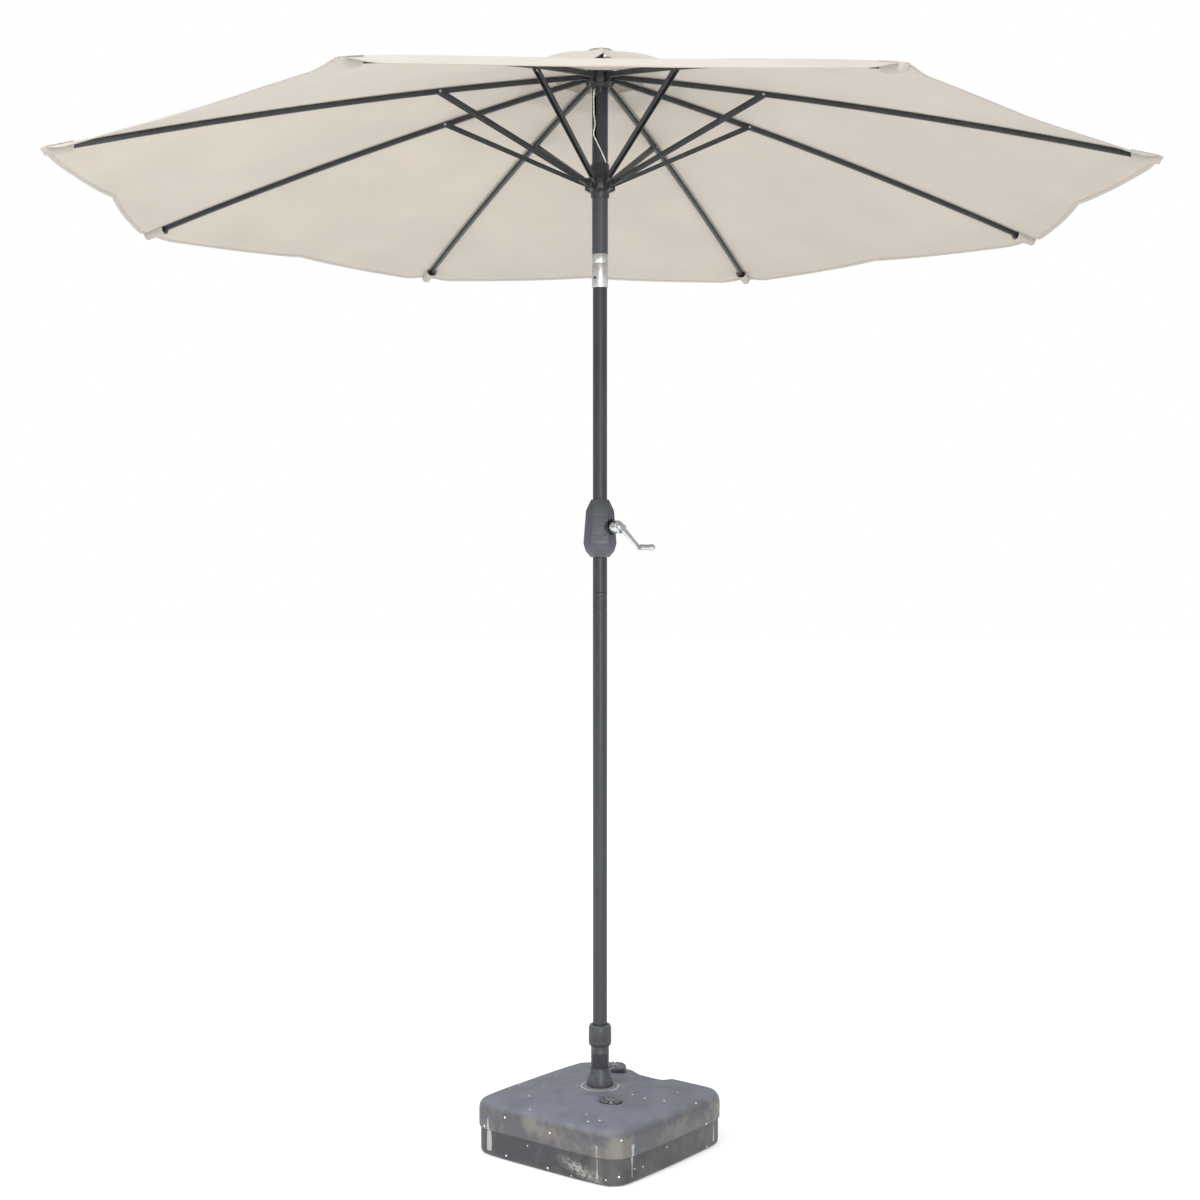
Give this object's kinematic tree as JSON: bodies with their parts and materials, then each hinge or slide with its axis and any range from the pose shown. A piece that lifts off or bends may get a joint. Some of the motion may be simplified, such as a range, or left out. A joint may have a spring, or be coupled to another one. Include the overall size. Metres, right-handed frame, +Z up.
{
  "type": "patio umbrella with base",
  "caption": "Crank-lift patio umbrella with vented cloth canopy, folding rib frame, push-button tilt pole and a fillable plastic base that stands on the ground.",
  "frame": {"origin": "on the ground, on the pole's axis, at the middle of the base's underside", "axes": "+Z up along the pole, -Y towards the user's side where the crank is, +X to the right seen from there"},
  "size_m": [2.4354, 2.4354, 2.664],
  "materials": {
    "tank_plastic": "matte",
    "water": "gloss",
    "cap_plastic": "satin",
    "crown_plastic": "satin",
    "stem_plastic": "satin",
    "pole_paint": "satin",
    "rib_paint": "satin",
    "housing_plastic": "satin",
    "spool_steel": "satin",
    "crank_chrome": "polished",
    "knuckle_aluminium": "satin",
    "hub_plastic": "satin",
    "canopy_cloth": "matte",
    "cord": "matte"
  },
  "bodies": {
    "base": {"base_tank": "tank_plastic", "water_ballast": "water", "stem_tube": "stem_plastic", "stem_collar": "tank_plastic", "grip_collet": "cap_plastic"},
    "front_cap": {"front_filler_cap": "cap_plastic"},
    "rear_cap": {"rear_filler_cap": "cap_plastic"},
    "lock_nut": {"lock_nut": "stem_plastic"},
    "mast": {"lower_pole": "pole_paint", "pole_joiner": "pole_paint", "crank_pole": "pole_paint", "crank_housing_front": "housing_plastic", "crank_housing_back": "housing_plastic", "tilt_knuckle_lower": "knuckle_aluminium", "tilt_pin": "spool_steel", "button_spring": "spool_steel"},
    "crank": {"cord_spool": "spool_steel", "crank_arm": "crank_chrome"},
    "crank_grip": {"crank_grip": "crank_chrome"},
    "tilt_button": {"tilt_button": "hub_plastic"},
    "upper_mast": {"tilt_knuckle_upper": "knuckle_aluminium", "upper_pole": "pole_paint", "crown_hub": "hub_plastic", "crown_ring": "spool_steel", "crown_cap": "crown_plastic", "lift_cord": "cord"},
    "pulley": {"crown_pulley": "spool_steel"},
    "runner": {"runner": "hub_plastic"},
    "rib_1": {"rib_1": "rib_paint", "rib_tip_1": "hub_plastic", "canopy_petal_1": "canopy_cloth"},
    "strut_1": {"strut_1": "rib_paint"},
    "rib_2": {"rib_2": "rib_paint", "rib_tip_2": "hub_plastic", "canopy_petal_2": "canopy_cloth"},
    "strut_2": {"strut_2": "rib_paint"},
    "rib_3": {"rib_3": "rib_paint", "rib_tip_3": "hub_plastic", "canopy_petal_3": "canopy_cloth"},
    "strut_3": {"strut_3": "rib_paint"},
    "rib_4": {"rib_4": "rib_paint", "rib_tip_4": "hub_plastic", "canopy_petal_4": "canopy_cloth"},
    "strut_4": {"strut_4": "rib_paint"},
    "rib_5": {"rib_5": "rib_paint", "rib_tip_5": "hub_plastic", "canopy_petal_5": "canopy_cloth"},
    "strut_5": {"strut_5": "rib_paint"},
    "rib_6": {"rib_6": "rib_paint", "rib_tip_6": "hub_plastic", "canopy_petal_6": "canopy_cloth"},
    "strut_6": {"strut_6": "rib_paint"},
    "rib_7": {"rib_7": "rib_paint", "rib_tip_7": "hub_plastic", "canopy_petal_7": "canopy_cloth"},
    "strut_7": {"strut_7": "rib_paint"},
    "rib_8": {"rib_8": "rib_paint", "rib_tip_8": "hub_plastic", "canopy_petal_8": "canopy_cloth"},
    "strut_8": {"strut_8": "rib_paint"}
  },
  "joints": [
    {"name": "mast_turn", "type": "hinge", "parent": "base", "child": "mast", "pos_m": [0, 0, 0.2], "axis": [0, 0, 1], "continuous": true},
    {"name": "lock_nut_turn", "type": "hinge", "parent": "base", "child": "lock_nut", "pos_m": [0, 0, 0.272], "axis": [0, 0, 1], "range_deg": [0, 360]},
    {"name": "front_cap_turn", "type": "hinge", "parent": "base", "child": "front_cap", "pos_m": [0.026, -0.107, 0.13], "axis": [0, 0, 1], "range_deg": [0, 720]},
    {"name": "rear_cap_turn", "type": "hinge", "parent": "base", "child": "rear_cap", "pos_m": [0.038, 0.158, 0.12], "axis": [0, 0, 1], "range_deg": [0, 720]},
    {"name": "tilt", "type": "hinge", "parent": "mast", "child": "upper_mast", "pos_m": [0, 0, 2.124], "axis": [1, 0, 0], "range_deg": [-30, 0]},
    {"name": "tilt_button_press", "type": "slide", "parent": "mast", "child": "tilt_button", "axis": [0.6428, 0.766, 0], "range_m": [0, 0.003], "stiffness_N_per_m": 900, "deforming": ["button_spring"]},
    {"name": "canopy_fold", "type": "hinge", "parent": "upper_mast", "child": "rib_1", "pos_m": [-0.01051, -0.0281, 2.588], "axis": [0.9367, -0.3502, 0], "range_deg": [0, 75.09], "deforming": ["canopy_petal_1"]},
    {"name": "rib_fold_2", "type": "hinge", "parent": "upper_mast", "child": "rib_2", "pos_m": [0.01244, -0.0273, 2.588], "axis": [0.91, 0.4147, 0], "range_deg": [0, 75.09], "deforming": ["canopy_petal_2"]},
    {"name": "rib_fold_3", "type": "hinge", "parent": "upper_mast", "child": "rib_3", "pos_m": [0.0281, -0.01051, 2.588], "axis": [0.3502, 0.9367, 0], "range_deg": [0, 75.09], "deforming": ["canopy_petal_3"]},
    {"name": "rib_fold_4", "type": "hinge", "parent": "upper_mast", "child": "rib_4", "pos_m": [0.0273, 0.01244, 2.588], "axis": [-0.4147, 0.91, 0], "range_deg": [0, 75.09], "deforming": ["canopy_petal_4"]},
    {"name": "rib_fold_5", "type": "hinge", "parent": "upper_mast", "child": "rib_5", "pos_m": [0.01051, 0.0281, 2.588], "axis": [-0.9367, 0.3502, 0], "range_deg": [0, 75.09], "deforming": ["canopy_petal_5"]},
    {"name": "rib_fold_6", "type": "hinge", "parent": "upper_mast", "child": "rib_6", "pos_m": [-0.01244, 0.0273, 2.588], "axis": [-0.91, -0.4147, 0], "range_deg": [0, 75.09], "deforming": ["canopy_petal_6"]},
    {"name": "rib_fold_7", "type": "hinge", "parent": "upper_mast", "child": "rib_7", "pos_m": [-0.0281, 0.01051, 2.588], "axis": [-0.3502, -0.9367, 0], "range_deg": [0, 75.09], "deforming": ["canopy_petal_7"]},
    {"name": "rib_fold_8", "type": "hinge", "parent": "upper_mast", "child": "rib_8", "pos_m": [-0.0273, -0.01244, 2.588], "axis": [0.4147, -0.91, 0], "range_deg": [0, 75.09], "deforming": ["canopy_petal_8"]},
    {"name": "strut_fold_1", "type": "hinge", "parent": "rib_1", "child": "strut_1", "pos_m": [-0.14394, -0.38497, 2.51114], "axis": [0.9367, -0.3502, 0], "range_deg": [-136.32, 0]},
    {"name": "strut_fold_2", "type": "hinge", "parent": "rib_2", "child": "strut_2", "pos_m": [0.17044, -0.37399, 2.51114], "axis": [0.91, 0.4147, 0], "range_deg": [-136.32, 0]},
    {"name": "strut_fold_3", "type": "hinge", "parent": "rib_3", "child": "strut_3", "pos_m": [0.38497, -0.14394, 2.51114], "axis": [0.3502, 0.9367, 0], "range_deg": [-136.32, 0]},
    {"name": "strut_fold_4", "type": "hinge", "parent": "rib_4", "child": "strut_4", "pos_m": [0.37399, 0.17044, 2.51114], "axis": [-0.4147, 0.91, 0], "range_deg": [-136.32, 0]},
    {"name": "strut_fold_5", "type": "hinge", "parent": "rib_5", "child": "strut_5", "pos_m": [0.14394, 0.38497, 2.51114], "axis": [-0.9367, 0.3502, 0], "range_deg": [-136.32, 0]},
    {"name": "strut_fold_6", "type": "hinge", "parent": "rib_6", "child": "strut_6", "pos_m": [-0.17044, 0.37399, 2.51114], "axis": [-0.91, -0.4147, 0], "range_deg": [-136.32, 0]},
    {"name": "strut_fold_7", "type": "hinge", "parent": "rib_7", "child": "strut_7", "pos_m": [-0.38497, 0.14394, 2.51114], "axis": [-0.3502, -0.9367, 0], "range_deg": [-136.32, 0]},
    {"name": "strut_fold_8", "type": "hinge", "parent": "rib_8", "child": "strut_8", "pos_m": [-0.37399, -0.17044, 2.51114], "axis": [0.4147, -0.91, 0], "range_deg": [-136.32, 0]},
    {"name": "runner_slide", "type": "slide", "parent": "upper_mast", "child": "runner", "axis": [0, 0, 1], "range_m": [-0.55058, 0], "deforming": ["lift_cord"]},
    {"name": "crank_turn", "type": "hinge", "parent": "mast", "child": "crank", "pos_m": [0, 0, 1.5], "axis": [0.7314, -0.682, 0], "range_deg": [-2520, 0]},
    {"name": "crank_grip_spin", "type": "hinge", "parent": "crank", "child": "crank_grip", "pos_m": [0.10851, -0.04493, 1.45097], "axis": [0.7314, -0.682, 0], "continuous": true},
    {"name": "pulley_turn", "type": "hinge", "parent": "upper_mast", "child": "pulley", "pos_m": [-0.00838, -0.00899, 2.551], "axis": [0.7314, -0.682, 0], "range_deg": [0, 3600]}
  ],
  "couplings": [
    {"joint": "rib_fold_2", "follows": "canopy_fold", "ratio": 1},
    {"joint": "rib_fold_3", "follows": "canopy_fold", "ratio": 1},
    {"joint": "rib_fold_4", "follows": "canopy_fold", "ratio": 1},
    {"joint": "rib_fold_5", "follows": "canopy_fold", "ratio": 1},
    {"joint": "rib_fold_6", "follows": "canopy_fold", "ratio": 1},
    {"joint": "rib_fold_7", "follows": "canopy_fold", "ratio": 1},
    {"joint": "rib_fold_8", "follows": "canopy_fold", "ratio": 1},
    {"joint": "strut_fold_1", "follows": "canopy_fold", "ratio": -1.8153},
    {"joint": "strut_fold_2", "follows": "canopy_fold", "ratio": -1.8153},
    {"joint": "strut_fold_3", "follows": "canopy_fold", "ratio": -1.8153},
    {"joint": "strut_fold_4", "follows": "canopy_fold", "ratio": -1.8153},
    {"joint": "strut_fold_5", "follows": "canopy_fold", "ratio": -1.8153},
    {"joint": "strut_fold_6", "follows": "canopy_fold", "ratio": -1.8153},
    {"joint": "strut_fold_7", "follows": "canopy_fold", "ratio": -1.8153},
    {"joint": "strut_fold_8", "follows": "canopy_fold", "ratio": -1.8153},
    {"joint": "runner_slide", "follows": "canopy_fold", "m_per_rad": -0.42008},
    {"joint": "crank_turn", "follows": "canopy_fold", "ratio": -33.558},
    {"joint": "pulley_turn", "follows": "canopy_fold", "ratio": 47.939}
  ]
}
